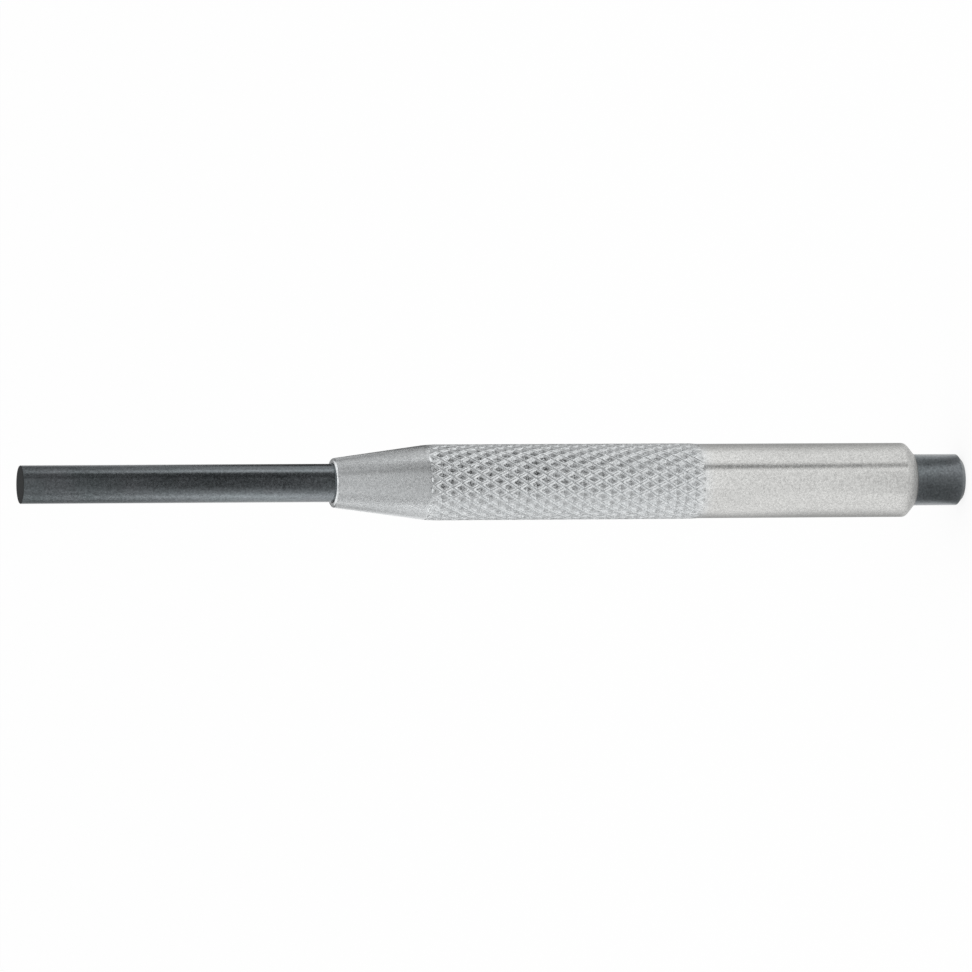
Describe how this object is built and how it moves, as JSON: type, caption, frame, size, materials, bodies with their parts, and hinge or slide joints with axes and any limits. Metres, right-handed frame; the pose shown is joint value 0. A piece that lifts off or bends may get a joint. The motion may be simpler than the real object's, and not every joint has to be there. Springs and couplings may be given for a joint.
{
  "type": "pin punch",
  "caption": "Straight pin punch with a sliding, diamond-knurled guide sleeve that slips forward over the pin and is held by a spring ring.",
  "frame": {"origin": "centre of the struck face of the head, which the punch stands on", "axes": "+Z along the punch's axis from the head to the tip"},
  "size_m": [0.0118, 0.0118, 0.15],
  "materials": {
    "blackened_steel": "oil-blackened hardened steel, satin, fine grain",
    "satin_nickel": "fine matte nickel plate over knurled steel",
    "spring_steel": "bright spring wire, oiled"
  },
  "bodies": {
    "punch": {"punch": "blackened_steel"},
    "ring": {"friction_ring": "spring_steel"},
    "sleeve": {"guide_sleeve": "satin_nickel"}
  },
  "joints": [
    {"name": "ring_turn", "type": "hinge", "parent": "punch", "child": "ring", "pos_m": [0, 0, 0.05995], "axis": [0, 0, 1], "continuous": true},
    {"name": "sleeve_slide", "type": "slide", "parent": "ring", "child": "sleeve", "axis": [0, 0, 1], "range_m": [0, 0.049]}
  ]
}
